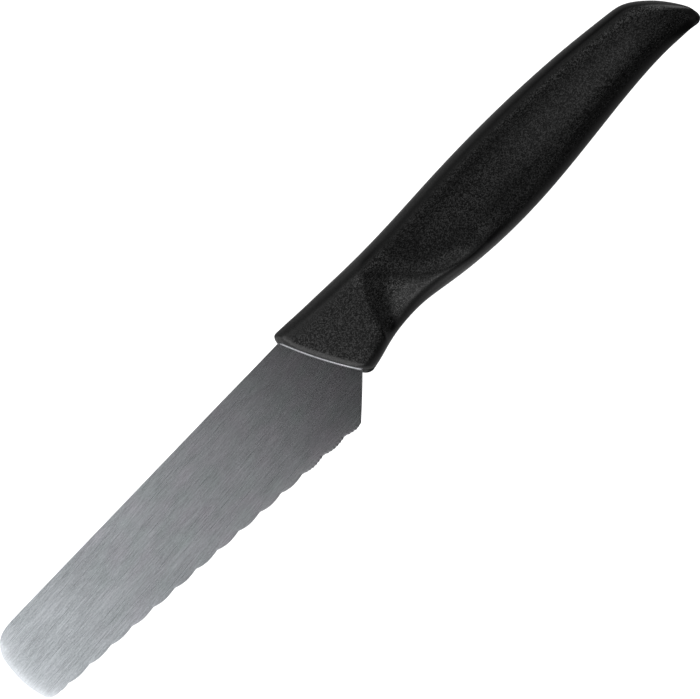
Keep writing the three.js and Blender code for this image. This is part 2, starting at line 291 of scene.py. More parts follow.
    verts = np.concatenate([np.concatenate([P, front[..., None]], -1).reshape(-1, 3),
                            np.concatenate([P, rear[..., None]], -1).reshape(-1, 3)])
    half = nA * nB
    ident = np.arange(len(verts))
    ident.reshape(2, nA, nB)[:, 0, :] = np.array([0, half])[:, None]  # the first line is one point
    v = lambda side, i, j: int(ident[side * half + i * nB + j])
    faces = []
    for i in range(nA - 1):
        for j in range(nB - 1):
            f = [v(0, i, j), v(0, i, j + 1), v(0, i + 1, j + 1), v(0, i + 1, j)]
            r = [v(1, i, j), v(1, i + 1, j), v(1, i + 1, j + 1), v(1, i, j + 1)]
            for q4 in (f, r):
                q4 = list(dict.fromkeys(q4))
                if len(q4) > 2:
                    faces.append(tuple(q4))
        for j, turn in ((0, False), (nB - 1, True)):
            q4 = [v(0, i, j), v(0, i + 1, j), v(1, i + 1, j), v(1, i, j)]
            q4 = list(dict.fromkeys(q4 if not turn else q4[::-1]))
            if len(q4) > 2:
                faces.append(tuple(q4))
    verts = [tuple(p) for p in verts]

    # tang, from the end of the grid
    last = nA - 1
    loops = []
    for side, z in ((0, SHEET), (1, -SHEET)):
        hid = []
        for p in TANG:
            verts.append((p[0], p[1], z)); hid.append(len(verts) - 1)
        holes = []
        for c in HOLES:
            ring = []
            for p in circle(c, HOLE_R):
                verts.append((p[0], p[1], z)); ring.append(len(verts) - 1)
            holes.append(ring)
        end = [v(side, last, j) for j in range(nB)]  # spine to heel
        loops.append((end, hid, holes))
    for side in (0, 1):
        end, hid, holes = loops[side]
        tris = fill([end + hid, *holes], verts)
        faces += tris if side == 0 else [tuple(reversed(t)) for t in tris]
    f_end, f_hid, f_holes = loops[0]
    r_end, r_hid, r_holes = loops[1]
    wall_f = [f_end[-1]] + f_hid + [f_end[0]]
    wall_r = [r_end[-1]] + r_hid + [r_end[0]]
    for a, b, c, d in zip(wall_f[:-1], wall_f[1:], wall_r[1:], wall_r[:-1]):
        faces.append((b, a, d, c))
    for hf, hr in zip(f_holes, r_holes):
        for a, b, c, d in zip(hf, hf[1:] + hf[:1], hr[1:] + hr[:1], hr):
            faces.append((a, b, c, d))
    used = sorted({i for f in faces for i in f})
    new = {o: n for n, o in enumerate(used)}
    verts = np.array([verts[i] for i in used])
    faces = [tuple(new[i] for i in f) for f in faces]
    # how near each point is to the ground edge, where a painted sheen lightens the steel
    edge_line = np.stack([s_edge, edge_y(s_edge)], -1)[::6]
    added_sheen = (1 - smooth(0.0, 3.6, distance_to(edge_line, verts[:, :2]))) * smooth(40, 80, verts[:, 0])
    # how near each point is to the tip, for the rolled tip's calmer brushing and a painted highlight there
    rolled = np.exp(-distance_to(tip_line, verts[:, :2]) / 2.4)
    # painted shade: the steel's colour is darkened on the coined bead at the grip's mouth, by an amount that changes
    # along the mouth
    t = ((verts[:, :2] - MOUTH_T) @ MOUTH_DIR) / np.linalg.norm(MOUTH_B - MOUTH_T)
    to_mouth = (MOUTH_T - verts[:, :2]) @ INTO - MOUTH_BOW * (1 - (2 * t - 1) ** 2)
    bead_shade = (1 - smooth(0.2, 0.4, to_mouth)) * table([(0, 0.56), (0.06, 0.48), (0.58, 0.46), (0.68, 0.34), (0.9, 0.34), (1, 0.42)], t)
    return verts, faces, added_sheen, rolled, bead_shade


# ------------------------------------------------------------------------------------------------
# grip
# ------------------------------------------------------------------------------------------------
CORNER_T, CORNER_B = np.array([94.13, 1.94]), np.array([104.45, -20.07])  # the mouth's corners before rounding
GRIP_TOP = [tuple(CORNER_T), (97.0, 1.83), (103, 1.43), (109, 1.11), (115, 0.8), (121, 0.57), (127, 0.5), (133, 0.58), (139, 0.75),
            (145, 0.93), (151, 1.04), (157, 1.06), (163, 0.97), (169, 0.77), (175, 0.46), (181, 0.03), (187, -0.53), (193, -1.25),
            (198, -1.93), (201.3, -2.41), (203.62, -2.92), (205.84, -4.04), (207.95, -5.72), (210.25, -8.02), (212.05, -10.32),
            (213.55, -12.63), (214.55, -14.71), (214.93, -16.55)]
GRIP_BOT = [tuple(CORNER_B), (106.2, -19.73), (109, -19.18), (113, -18.18), (117, -17.54), (121, -17.3), (125, -17.45), (129, -18.04),
            (133, -18.75), (137, -19.38), (141, -19.86), (145, -20.22), (149, -20.46), (153, -20.58), (157, -20.59), (161, -20.5),
            (165, -20.31), (169, -20.04), (173, -19.72), (177, -19.36), (181, -18.99), (185, -18.61), (189, -18.26), (193, -17.97),
            (197, -17.75), (201, -17.66), (205, -17.73), (209, -17.99), (212, -18.3), (213.88, -18.4), (214.7, -17.77), (214.93, -16.55)]
CORNER_R, RIM_R = 1.9, 0.5  # rounding of the mouth's belly corner in plan, and of its rim in height
CORNER_TOP, CORNER_LONG = 2.1, 2.4  # rounding of its spine corner, along the mouth and along the spine
RIM_WIDE, RIM_LEAN = 1.75, 0.21  # bevel along the mouth: its width, and how steep it is
HALF = [(94, 6.4), (123, 6.4), (128, 6.28), (134, 6.22), (140, 6.15), (148, 6.17), (156, 6.28), (164, 6.38), (172, 6.33), (180, 6.21), (188, 6.0), (193, 5.81),
        (197, 5.6), (201, 5.26), (204, 4.88), (206, 4.52), (208, 3.95), (210, 3.05), (212, 2.15), (213.3, 1.62), (214.2, 1.2), (214.7, 0.8), (215, 0)]  # half the grip's thickness, without the front pad and the scoop
PAD_TOP, PAD_LEAN = 121.0, 0.1325  # the pad is a wedge: it leans towards the tip from here on
CREASE = [(122.7, 2.5), (121.9, -0.9), (120.4, -2.7), (118.85, -4.5), (117.5, -6.3), (116.45, -8.1), (115.6, -9.9), (114.75, -11.8), (114.05, -13.6),
          (113.4, -15.4), (112.9, -16.8), (112.3, -18.6), (111.8, -20.5)]  # where the pad ends
TROUGH = [(-21, 1.9), (-16, 2.24), (-13.6, 1.7), (-11, 1.13), (-8, 0.63), (-4.5, 0.36), (-2, 0.26), (1, 0.15), (3, 0.1)]  # how far it drops behind the pad
RIM_BELLY = [(94, 4.4), (112, 4.5), (122, 4.4), (130, 4.0), (138, 4.0), (150, 4.25), (164, 4.6), (178, 5.0), (215, 5.0)]
SWELL = [(-21, 140.5), (-18, 136.6), (-16, 133.6), (-14, 130.4), (-12, 127.4), (-10, 125.2), (-3, 120.7), (3, 118)]  # low crest where the scoop has run out
RIM_SPINE = 6.2
SLOT_GAP = 0.03
SET_TOP, SET_HEEL = 0.38, 0.72  # how far the mouth's front half stands back at the spine and at the heel


def build_grip():
    top, len_t = spline(GRIP_TOP)
    bot, len_b = spline(GRIP_BOT)
    crease, _ = spline(CREASE)
    crease_line = crease(np.linspace(0, 1, 60))

    psi = np.radians(np.linspace(90, 0, 12))
    s0 = CORNER_R / len_t
    body = np.r_[np.linspace(0, 0.36, 130)[1:], np.linspace(0.36, 0.86, 90)[1:], 0.86 + 0.14 * np.sin(np.linspace(0, math.pi / 2, 44))[1:-1]]
    stations = [(CORNER_R * (1 - math.sin(a)) / len_t, 1 - math.cos(a)) for a in psi]  # along the outline, and the corner's share
    stations += [(s0 + (1 - s0) * s, 0.0) for s in body]
    s = np.array([a for a, _ in stations])
    rim = np.array([b for _, b in stations])
    A, B = top(s), bot(s)
    width = np.linalg.norm(A - B, axis=1)
    axis = (A - B) / width[:, None]  # belly to spine
    A = A - axis * (CORNER_TOP * np.clip(1 - s * len_t / CORNER_LONG, 0, 1) ** 2)[:, None]
    B = B + axis * (rim * CORNER_R)[:, None]
    width = np.linalg.norm(A - B, axis=1)
    nA = len(s)

    # rows across: close together at the parting line and on the rims
    g = np.array([0, 0.012, 0.03, 0.06, 0.1, 0.16, 0.23, 0.31, 0.4, 0.49, 0.58, 0.66, 0.73, 0.79, 0.845, 0.89, 0.93, 0.96, 0.985])
    M, N = 2.5, 2.15
    r_b = table(RIM_BELLY, (A[:, 0] + B[:, 0]) / 2)
    d_of = lambda g, r: r * (1 - (1 - g**N) ** (1 / M))
    g_of = lambda d, r: (1 - (1 - np.clip(d / r, 0, 1)) ** M) ** (1 / N)
    cols = []
    for i in range(nA):
        w = width[i]
        k = min(1.0, w / 16.0)
        db, ds = d_of(g, r_b[i] * k), d_of(g, RIM_SPINE * k)
        inner = np.linspace(db[-1], w - ds[-1], 30)[1:-1]
        cols.append(np.r_[db, inner, (w - ds)[::-1]])
    cols = np.array(cols)  # distance from the belly side
    nB = cols.shape[1]
    P = B[:, None] + axis[:, None] * cols[..., None]
    # the mouth bows towards the tip
    t = cols / width[:, None]
    bow = MOUTH_BOW * (1 - (2 * t - 1) ** 2) * (1 - smooth(0, 14, s * len_t))[:, None]
    P = P - bow[..., None] * INTO

    x, y = P[..., 0], P[..., 1]
    d_b, d_s = cols, width[:, None] - cols
    k = np.minimum(1.0, width / 16.0)[:, None]
    mid = (A + B) / 2
    m = s * len_t  # from the mouth
    drop = RIM_R - np.sqrt(RIM_R**2 - np.clip(RIM_R - m, 0, RIM_R) ** 2)
    fine = np.linspace(0, RIM_WIDE, 400)
    bevel = np.cumsum((RIM_LEAN * (1 - smooth(RIM_WIDE - 0.8, RIM_WIDE, fine)))[::-1])[::-1] * fine[1]
    drop = drop + np.interp(m, fine, bevel)
    H = table(HALF, mid[:, 0])[:, None] - drop[:, None]
    w = 2 * t - 1  # -1 belly, +1 spine
    H = H * (1 + 0.04 * w**2)

    # the pad is a wedge that ends in a crease; behind it the finger scoop drops and runs out again
    near = distance_to(crease_line, P.reshape(-1, 2)).reshape(nA, nB)
    cross = np.interp(y, crease_line[::-1, 1], crease_line[::-1, 0])
    c = near * np.sign(x - cross)
    pad = PAD_LEAN * np.maximum(PAD_TOP - x, 0)
    step = PAD_LEAN * np.maximum(PAD_TOP - cross, 0)  # the pad's level where it ends
    drop = table(TROUGH, y)
    run = table([(-21, 3.6), (-12, 3.6), (-8, 4.4), (-4, 5.0), (3, 5.0)], y)  # from the edge to the deepest line
    soft = table([(-21, 0.25), (-12, 0.3), (-8, 0.8), (-4, 1.6), (3, 2.0)], y)  # how rounded the pad's edge is
    cs = 0.5 * (c + np.sqrt(c * c + soft * soft))
    inward = np.clip(cs / run, 0, 1)
    q = np.maximum(cs - run, 0)
    back = 0.78 * (1 + q / 2.8) * np.exp(-q / 2.8) + 0.22 * (1 + q / 8.0) * np.exp(-q / 8.0)
    behind = (step + drop * (1 - (1 - inward) ** 2)) * back
    mix = smooth(-1.0, 1.0, c / (soft + 0.15))
    scoop = np.where(c < 0, pad, step) * (1 - mix) + behind * mix

    # low crest behind the scoop
    wide = table([(-21, 4.6), (-14, 4.4), (-10, 3.6), (3, 3.4)], y)
    crest = table([(-21, 1.2), (-16, 0.95), (-14, 0.65), (-12, 0.43), (-10, 0.33), (-6, 0.33), (-1, 0.31), (3, 0.2)], y) * np.exp(-(((x - table(SWELL, y)) / wide) ** 2))

    # soft ridge towards the butt, with a slope on its belly side
    ridge = table([(140, 8.1), (150, 7.75), (159, 7.28), (164, 6.8), (168, 6.37), (173, 5.96), (182, 5.5), (192, 5.0), (201, 4.64), (207, 4.6), (212, 4.2), (215, 2)], x)
    lean = table([(144, 0.0), (152, 0.21), (159, 0.285), (166, 0.34), (174, 0.385), (182, 0.42), (200, 0.477), (215, 0.4)], x)
    bend = table([(140, 3.1), (160, 0.95), (172, 0.5), (182, 0.5), (215, 1.2)], x)  # how rounded the ridge is
    u = ridge - d_b
    slope = lean * 0.5 * (u + np.sqrt(u * u + bend))
    # the cheek is slightly hollow between the ridge and the smooth rim on the spine's side
    far = np.maximum(width[:, None] - ridge, 9.3)
    dip = table([(124, 0.0), (134, 0.46), (146, 0.8), (160, 0.94), (170, 0.93), (180, 0.78), (192, 0.55), (200, 0.33), (206, 0.0)], x)
    dip = dip * smooth(1.53, 5.93, d_s) * (1 - smooth(5.93, far, d_s))
    face = np.maximum(H - scoop + crest - dip - slope, 0.15 * H)

    z = face * g_of(d_b, r_b[:, None] * k) * g_of(d_s, RIM_SPINE * k)
    # parting line: a fine ridge round the middle
    flash = 0.035 * np.exp(-((z / 0.16) ** 2)) * (1 - smooth(0, 0.25, rim))[:, None]
    n2 = np.where((d_b < d_s)[..., None], -axis[:, None], axis[:, None])
    P = P + n2 * flash[..., None]

    # the front half of the mouth stands back from the rear half towards the heel
    back = (SET_TOP + (SET_HEEL - SET_TOP) * (1 - t)) * (1 - smooth(0, 7, s * len_t))[:, None] * smooth(0.0, 0.5, z) * smooth(0.005, 0.05, 1 - t)
    F = P + back[..., None] * INTO

    verts, ids_up, ids_dn = [], np.zeros((nA, nB), int), np.zeros((nA, nB), int)
    for i in range(nA):
        for j in range(nB):
            verts.append((F[i, j, 0], F[i, j, 1], z[i, j])); ids_up[i, j] = len(verts) - 1
            if j in (0, nB - 1):
                verts[-1] = (P[i, j, 0], P[i, j, 1], 0.0); ids_dn[i, j] = ids_up[i, j]
            else:
                verts.append((P[i, j, 0], P[i, j, 1], -z[i, j])); ids_dn[i, j] = len(verts) - 1
    faces = []
    for i in range(nA - 1):
        for j in range(nB - 1):
            a, b, c_, d = ids_up[i, j], ids_up[i + 1, j], ids_up[i + 1, j + 1], ids_up[i, j + 1]
            faces.append((int(a), int(b), int(c_), int(d)))
            a, b, c_, d = ids_dn[i, j], ids_dn[i + 1, j], ids_dn[i + 1, j + 1], ids_dn[i, j + 1]
            faces.append((int(d), int(c_), int(b), int(a)))
    # butt: closed to one point
    end = top(1.0)
    verts.append((end[0], end[1], 0.0)); e = len(verts) - 1
    for j in range(nB - 1):
        faces.append((int(ids_up[-1, j]), e, int(ids_up[-1, j + 1])))
        faces.append((int(ids_dn[-1, j + 1]), e, int(ids_dn[-1, j])))

    # front face, in to the slot round the blade
    zg = SHEET + SLOT_GAP
    t_slot = ((MOUTH_T - B[0]) @ axis[0] + 0.12, (MOUTH_B - B[0]) @ axis[0] - 0.12)
    j_mid = np.arange(nB)
    frac = np.zeros(nB)
    inner = np.arange(1, nB - 1)
    frac[1:-1] = (inner - 1) / (nB - 3)
    frac[-1] = 1
    a_slot = t_slot[1] + (t_slot[0] - t_slot[1]) * frac
    z_slot = np.full(nB, zg)
    z_slot[0] = z_slot[-1] = 0
    base = B[0][None] + axis[0][None] * a_slot[:, None]
    ts = a_slot / width[0]
    base = base - (MOUTH_BOW * (1 - (2 * ts - 1) ** 2))[:, None] * INTO
    prev_up, prev_dn = ids_up[0], ids_dn[0]
    P0 = P[0]; z0 = z[0].copy()
    for m in (0.06, 0.5, 1.0):
        up, dn = np.zeros(nB, int), np.zeros(nB, int)
        for j in range(nB):
            p = P0[j] * (1 - m) + base[j] * m
            tt = ((p - B[0]) @ axis[0]) / width[0]
            if m < 1:  # stay on the bowed front
                lin = B[0] + axis[0] * ((p - B[0]) @ axis[0])
                p = lin - INTO * (MOUTH_BOW * (1 - (2 * tt - 1) ** 2))
            zz = z0[j] * (1 - m) + z_slot[j] * m
            if j in (0, nB - 1):
                verts.append((p[0], p[1], 0.0)); up[j] = dn[j] = len(verts) - 1
            else:
                f = p + INTO * (SET_TOP + (SET_HEEL - SET_TOP) * (1 - tt)) * float(smooth(0.0, 0.5, zz) * smooth(0.005, 0.05, 1 - tt))
                verts.append((f[0], f[1], zz)); up[j] = len(verts) - 1
                verts.append((p[0], p[1], -zz)); dn[j] = len(verts) - 1
        for j in range(nB - 1):
            faces.append((int(up[j]), int(prev_up[j]), int(prev_up[j + 1]), int(up[j + 1])))
            faces.append((int(dn[j + 1]), int(prev_dn[j + 1]), int(prev_dn[j]), int(dn[j])))
        prev_up, prev_dn = up, dn
    # pocket for the tang, with the columns that fill its holes
    pocket_up, pocket_dn, holes_up, holes_dn = [], [], [], []
    grown = [np.array(p) + np.array([0.1, 0.12 if i >= len(TANG) - 9 else -0.12]) for i, p in enumerate(TANG)]
    for p in grown:
        verts.append((p[0], p[1], zg)); pocket_up.append(len(verts) - 1)
        verts.append((p[0], p[1], -zg)); pocket_dn.append(len(verts) - 1)
    for cc in HOLES:
        hu, hd = [], []
        for p in circle(cc, HOLE_R - 0.1):
            verts.append((p[0], p[1], zg)); hu.append(len(verts) - 1)
            verts.append((p[0], p[1], -zg)); hd.append(len(verts) - 1)
        holes_up.append(hu); holes_dn.append(hd)
    mouth_up = [int(i) for i in prev_up[1:-1]]  # belly to spine
    mouth_dn = [int(i) for i in prev_dn[1:-1]]
    tris = fill([mouth_up[::-1] + pocket_up, *holes_up], verts)
    faces += [tuple(reversed(q)) for q in tris]  # roof, seen from inside the pocket
    tris = fill([mouth_dn[::-1] + pocket_dn, *holes_dn], verts)
    faces += tris
    wu, wd = [mouth_up[0]] + pocket_up + [mouth_up[-1]], [mouth_dn[0]] + pocket_dn + [mouth_dn[-1]]
    for i, (a, b, c_, d) in enumerate(zip(wu[:-1], wu[1:], wd[1:], wd[:-1])):
        f = [a, b, c_, d]
        if i == 0:
            f = [a, b, c_, d, int(prev_up[0])]
        elif i == len(wu) - 2:
            f = [a, b, int(prev_up[-1]), c_, d]
        faces.append(tuple(f))
    for hu, hd in zip(holes_up, holes_dn):
        for a, b, c_, d in zip(hu, hu[1:] + hu[:1], hd[1:] + hd[:1], hd):
            faces.append((b, a, d, c_))
    verts = np.array(verts)
    faces = outward(verts, faces)

    # how far each point is from the grip's outline, for the smooth rim round the grained cheeks
    seat = (np.abs(verts[:, 2]) > 1.0)
    mouth_d = (verts[:, :2] - MOUTH_T) @ INTO
    along = np.clip((verts[:, :2] - MOUTH_T) @ MOUTH_DIR / np.linalg.norm(MOUTH_B - MOUTH_T), 0, 1)
    grain = smooth(0.95, 1.55, mouth_d + MOUTH_BOW * (1 - (2 * along - 1) ** 2))
    at_spine = distance_to(top(np.linspace(0, 1, 300)), verts[:, :2])
    at_belly = distance_to(bot(np.linspace(0, 1, 300)), verts[:, :2])
    vx = verts[:, 0]
    grain = grain * smooth(2.3, 3.5 + 1.4 * (1 - smooth(108, 124, vx)), at_spine + 1.25 * smooth(199, 206, vx)) * smooth(1.5, 2.25 + 2.3 * (smooth(118, 124, vx) - smooth(140, 156, vx)), at_belly)
    # the rim shines most at its edge, on the bevel of the mouth and on the belly before the ridge
    front = 1 - smooth(8, 34, mouth_d)
    shine = 0.45 + 0.28 * (1 - smooth(0.9, 1.9, at_spine)) + 0.15 * front * (1 - smooth(1.5, 2.3, at_spine))
    belly = 0.55 + (0.07 + 0.3 * (1 - smooth(1.3, 2.1, at_belly))) * (smooth(122, 134, vx) - smooth(148, 166, vx))
    belly = belly + 0.4 * np.exp(-(((vx - 115.9) / 1.8) ** 2)) + 0.25 * smooth(202, 208, vx)  # and at the end of the crease and the butt
    shine = np.where(at_belly < at_spine, belly, shine)
    shine = shine + (0.68 - shine) * (1 - smooth(1.2, 2.4, mouth_d))
    shine = shine * (1 - 0.6 * np.exp(-(((vx - 213.6) / 1.2) ** 2) - ((verts[:, 1] + 15.4) / 1.3) ** 2))
    # the grain is shallower on the light band of the rear cheek, on the pad and where the finger rests
    spot = lambda px, py, wx, wy: np.exp(-(((x - px) / wx) ** 2) - ((y - py) / wy) ** 2)
    rest = spot(123.6, -12.9, 5.5, 2.0)
    even = smooth(148, 172, x) * smooth(-0.5, 2.0, -u) * smooth(3.5, 6.5, d_s) * (1 - smooth(198, 210, x))
    even = np.maximum(even, 0.4 * smooth(0, 2, -c))
    added_sheen = np.maximum(rest, 0.45 * smooth(0, 2, -c)) + 1.3 * spot(128.4, -12.2, 2.3, 1.7) + 1.4 * spot(124.9, -8.4, 2.0, 1.5)
    added_sheen = added_sheen + 3.0 * spot(116.0, -14.7, 1.5, 1.7) + 1.2 * spot(134.5, -14.6, 5.5, 1.6) - 0.9 * spot(122.7, -9.8, 1.8, 1.3) - 0.5 * spot(124.3, -14.3, 3.5, 0.9)
    wear, shallow = np.zeros(len(verts)), np.zeros(len(verts))
    for ids in (ids_up, ids_dn):
        wear[ids], shallow[ids] = added_sheen, np.maximum(rest, even)
    return verts, faces, {"grain": np.where(seat, grain, 0), "polish": shine, "wear": wear, "shallow": shallow}


# ------------------------------------------------------------------------------------------------
# materials
# ------------------------------------------------------------------------------------------------
def new_material(name):
    m = bpy.data.materials.new(name)
    m.use_nodes = True
    nt = m.node_tree
    nt.nodes.clear()
    out = nt.nodes.new("ShaderNodeOutputMaterial")
    bsdf = nt.nodes.new("ShaderNodeBsdfPrincipled")
    nt.links.new(bsdf.outputs[0], out.inputs[0])
    return m, nt, bsdf


def node(nt, kind, **values):
    n = nt.nodes.new(kind)
    for k, v in values.items():
        if hasattr(n, k):
            setattr(n, k, v)
        else:
            n.inputs[k].default_value = v
    return n


def streaks(nt, along_mm, across_mm, turn_deg, detail=2.0, seed=0.0):
    """Noise drawn out along the brushing direction."""
    co = nt.nodes.new("ShaderNodeTexCoord")
    mp = nt.nodes.new("ShaderNodeMapping")
    mp.vector_type = "TEXTURE"
    mp.inputs["Rotation"].default_value = (0, 0, math.radians(turn_deg))
    mp.inputs["Scale"].default_value = (along_mm / 1000, across_mm / 1000, 0.01)
    mp.inputs["Location"].default_value = (seed, seed * 0.37, 0)
    no = node(nt, "ShaderNodeTexNoise", noise_dimensions="2D")
    no.inputs["Scale"].default_value = 1.0
    no.inputs["Detail"].default_value = detail
    no.inputs["Roughness"].default_value = 0.55
    nt.links.new(co.outputs["Object"], mp.inputs["Vector"])
    nt.links.new(mp.outputs["Vector"], no.inputs["Vector"])
    return no.outputs[0]


def ramp(nt, value, lo, hi, out_lo, out_hi):
    r = nt.nodes.new("ShaderNodeMapRange")
    r.inputs["From Min"].default_value = lo
    r.inputs["From Max"].default_value = hi
    r.inputs["To Min"].default_value = out_lo
    r.inputs["To Max"].default_value = out_hi
    nt.links.new(value, r.inputs["Value"])
    return r.outputs["Result"]


def maths(nt, op, a, b):
    n = nt.nodes.new("ShaderNodeMath")
    n.operation = op
    for i, v in enumerate((a, b)):
        if isinstance(v, (int, float)):
            n.inputs[i].default_value = v
        else:
            nt.links.new(v, n.inputs[i])
    return n.outputs[0]


GRAIN_SCALE, GRAIN_DEEP = 4700.0, 0.00003  # moulded grain: per metre, and metres
BRUSH_TURN = 2.9  # degrees between the brushing and the spine


def steel_material():
    m, nt, b = new_material("brushed_steel")
    b.inputs["Metallic"].default_value = 1.0
    b.inputs["Anisotropic"].default_value = 0.94
    fine = streaks(nt, 3.0, 0.27, BRUSH_TURN, 2.0, 0.3)
    drawn = streaks(nt, 9.0, 0.29, BRUSH_TURN, 2.0, 4.4)
    speck = streaks(nt, 0.32, 0.26, BRUSH_TURN, 1.0, 7.9)
    mid = streaks(nt, 15.0, 1.1, BRUSH_TURN, 2.0, 1.7)
    cloud = streaks(nt, 14.0, 6.0, BRUSH_TURN - 12, 2.0, 3.1)
    hue = streaks(nt, 8.0, 4.5, BRUSH_TURN + 8, 1.0, 5.3)
    at = nt.nodes.new("ShaderNodeAttribute")
    at.attribute_name = "ground_edge"
    tip = nt.nodes.new("ShaderNodeAttribute")
    tip.attribute_name = "rolled_tip_and_highlight"
    place = nt.nodes.new("ShaderNodeSeparateXYZ")
    nt.links.new(nt.nodes.new("ShaderNodeTexCoord").outputs["Object"], place.inputs[0])
    along = place.outputs[0]
    level = None
    for value, share in ((fine, 0.7), (drawn, 0.7), (mid, 0.4), (cloud, 0.3)):
        part = maths(nt, "MULTIPLY", maths(nt, "SUBTRACT", value, 0.5), share)
        level = part if level is None else maths(nt, "ADD", level, part)
    # the brushing is calmer towards the heel
    level = maths(nt, "MULTIPLY", level, ramp(nt, along, -0.09, -0.03, 0.76, 0.7))
    level = maths(nt, "ADD", level, maths(nt, "MULTIPLY", maths(nt, "SUBTRACT", speck, 0.5), ramp(nt, along, -0.09, -0.02, 0.75, 0.55)))
    level = maths(nt, "MULTIPLY", level, ramp(nt, tip.outputs["Fac"], 0.0, 1.0, 1.0, 0.2))  # the rolled tip is smoother
    # painted highlight: the base colour is lighter towards the rolled tip
    level = maths(nt, "ADD", level, maths(nt, "MULTIPLY", tip.outputs["Fac"], 0.09))
    # painted sheen: the base colour is lighter near the ground edge
    level = maths(nt, "ADD", level, maths(nt, "MULTIPLY", at.outputs["Fac"], 0.16))
    level = maths(nt, "ADD", level, 1.0)
    # painted shade on the bead at the grip's mouth
    bead = nt.nodes.new("ShaderNodeAttribute")
    bead.attribute_name = "bead"
    level = maths(nt, "MULTIPLY", level, maths(nt, "SUBTRACT", 1.0, bead.outputs["Fac"]))
    shift = maths(nt, "MULTIPLY", maths(nt, "SUBTRACT", hue, 0.5), ramp(nt, along, -0.088, -0.066, 0.014, 0.088))
    col = nt.nodes.new("ShaderNodeCombineColor")
    # the painted sheen and the painted highlight also warm the colour near the ground edge and the tip
    warm = maths(nt, "ADD", ramp(nt, along, -0.1075, -0.0125, 0.563, 0.595), maths(nt, "MULTIPLY", at.outputs["Fac"], 0.012))
    warm = maths(nt, "ADD", warm, maths(nt, "MULTIPLY", tip.outputs["Fac"], 0.012))
    for k, (tint, sign) in enumerate(((warm, 1.0), (0.6, 0.0), (0.629, 0.65))):
        part = maths(nt, "ADD", maths(nt, "MULTIPLY", shift, sign), tint)
        nt.links.new(maths(nt, "MULTIPLY", part, level), col.inputs[k])
    nt.links.new(col.outputs[0], b.inputs["Base Color"])
    brush = maths(nt, "ADD", maths(nt, "MULTIPLY", drawn, 0.65), maths(nt, "MULTIPLY", mid, 0.35))
    nt.links.new(ramp(nt, brush, 0.35, 0.65, 0.28, 0.23), b.inputs["Roughness"])
    bump = node(nt, "ShaderNodeBump")
    bump.inputs["Strength"].default_value = 0.35
    bump.inputs["Distance"].default_value = 0.00001
    nt.links.new(brush, bump.inputs["Height"])
    nt.links.new(bump.outputs[0], b.inputs["Normal"])
    tan = nt.nodes.new("ShaderNodeTangent")
    tan.direction_type = "UV_MAP"
    tan.uv_map = "brush"
    nt.links.new(tan.outputs[0], b.inputs["Tangent"])
    return m


def grip_material():
    m, nt, b = new_material("black_moulded_grip")
    b.inputs["Specular IOR Level"].default_value = 0.08
    b.inputs["Coat Roughness"].default_value = 0.2
    b.inputs["Coat IOR"].default_value = 1.645
    co = nt.nodes.new("ShaderNodeTexCoord")
    at = nt.nodes.new("ShaderNodeAttribute")
    at.attribute_name = "grain"
    mask = at.outputs["Fac"]

    def noise(scale, detail, rough=0.55):
        n = node(nt, "ShaderNodeTexNoise", noise_dimensions="3D")
        n.inputs["Scale"].default_value = scale
        n.inputs["Detail"].default_value = detail
        n.inputs["Roughness"].default_value = rough
        nt.links.new(co.outputs["Object"], n.inputs["Vector"])
        return n.outputs[0]

    cell = node(nt, "ShaderNodeTexVoronoi", voronoi_dimensions="3D", feature="F1")
    cell.inputs["Scale"].default_value = GRAIN_SCALE
    nt.links.new(co.outputs["Object"], cell.inputs["Vector"])
    each = nt.nodes.new("ShaderNodeSeparateColor")
    nt.links.new(cell.outputs["Color"], each.inputs[0])
    speck = each.outputs[0]  # every grain has its own height
    cloud = noise(300.0, 2.0)
    # the moulded grain: its hollows hardly shine, its crowns do
    wear = nt.nodes.new("ShaderNodeAttribute")
    wear.attribute_name = "wear"
    shallow = nt.nodes.new("ShaderNodeAttribute")
    shallow.attribute_name = "shallow"
    deep = ramp(nt, shallow.outputs["Fac"], 0.0, 1.0, 1.0, 0.64)
    pits = maths(nt, "MULTIPLY", ramp(nt, speck, 0.35, 0.95, -0.35, 0.65), deep)
    pits = maths(nt, "ADD", maths(nt, "ADD", pits, 0.405), maths(nt, "MULTIPLY", wear.outputs["Fac"], 0.135))
    near = nt.nodes.new("ShaderNodeAttribute")
    near.attribute_name = "polish"
    rim = maths(nt, "MULTIPLY", near.outputs["Fac"], ramp(nt, speck, 0.0, 1.0, 0.75, 1.25))
    gloss = maths(nt, "ADD", maths(nt, "MULTIPLY", pits, mask), maths(nt, "MULTIPLY", maths(nt, "SUBTRACT", 1.0, mask), rim))
    nt.links.new(gloss, b.inputs["Coat Weight"])
    tone = maths(nt, "ADD", maths(nt, "MULTIPLY", maths(nt, "SUBTRACT", speck, 0.5), mask), maths(nt, "MULTIPLY", maths(nt, "SUBTRACT", cloud, 0.5), 0.12))
    col = node(nt, "ShaderNodeValToRGB")
    col.color_ramp.elements[0].position = 0.0
    col.color_ramp.elements[0].color = (0.001, 0.001, 0.001, 1)
    col.color_ramp.elements[1].position = 1.0
    col.color_ramp.elements[1].color = (0.0062, 0.0062, 0.0064, 1)
    nt.links.new(ramp(nt, tone, -0.5, 0.5, 0, 1), col.inputs[0])
    nt.links.new(col.outputs[0], b.inputs["Base Color"])
    nt.links.new(ramp(nt, mask, 0, 1, 0.35, 0.5), b.inputs["Roughness"])
    bump = node(nt, "ShaderNodeBump")
    bump.inputs["Distance"].default_value = GRAIN_DEEP
    nt.links.new(ramp(nt, mask, 0, 1, 0.02, 1.0), bump.inputs["Strength"])
    nt.links.new(speck, bump.inputs["Height"])
    nt.links.new(bump.outputs[0], b.inputs["Normal"])
    nt.links.new(bump.outputs[0], b.inputs["Coat Normal"])
    return m


# ------------------------------------------------------------------------------------------------
# pieces
# ------------------------------------------------------------------------------------------------
steel, black = steel_material(), grip_material()

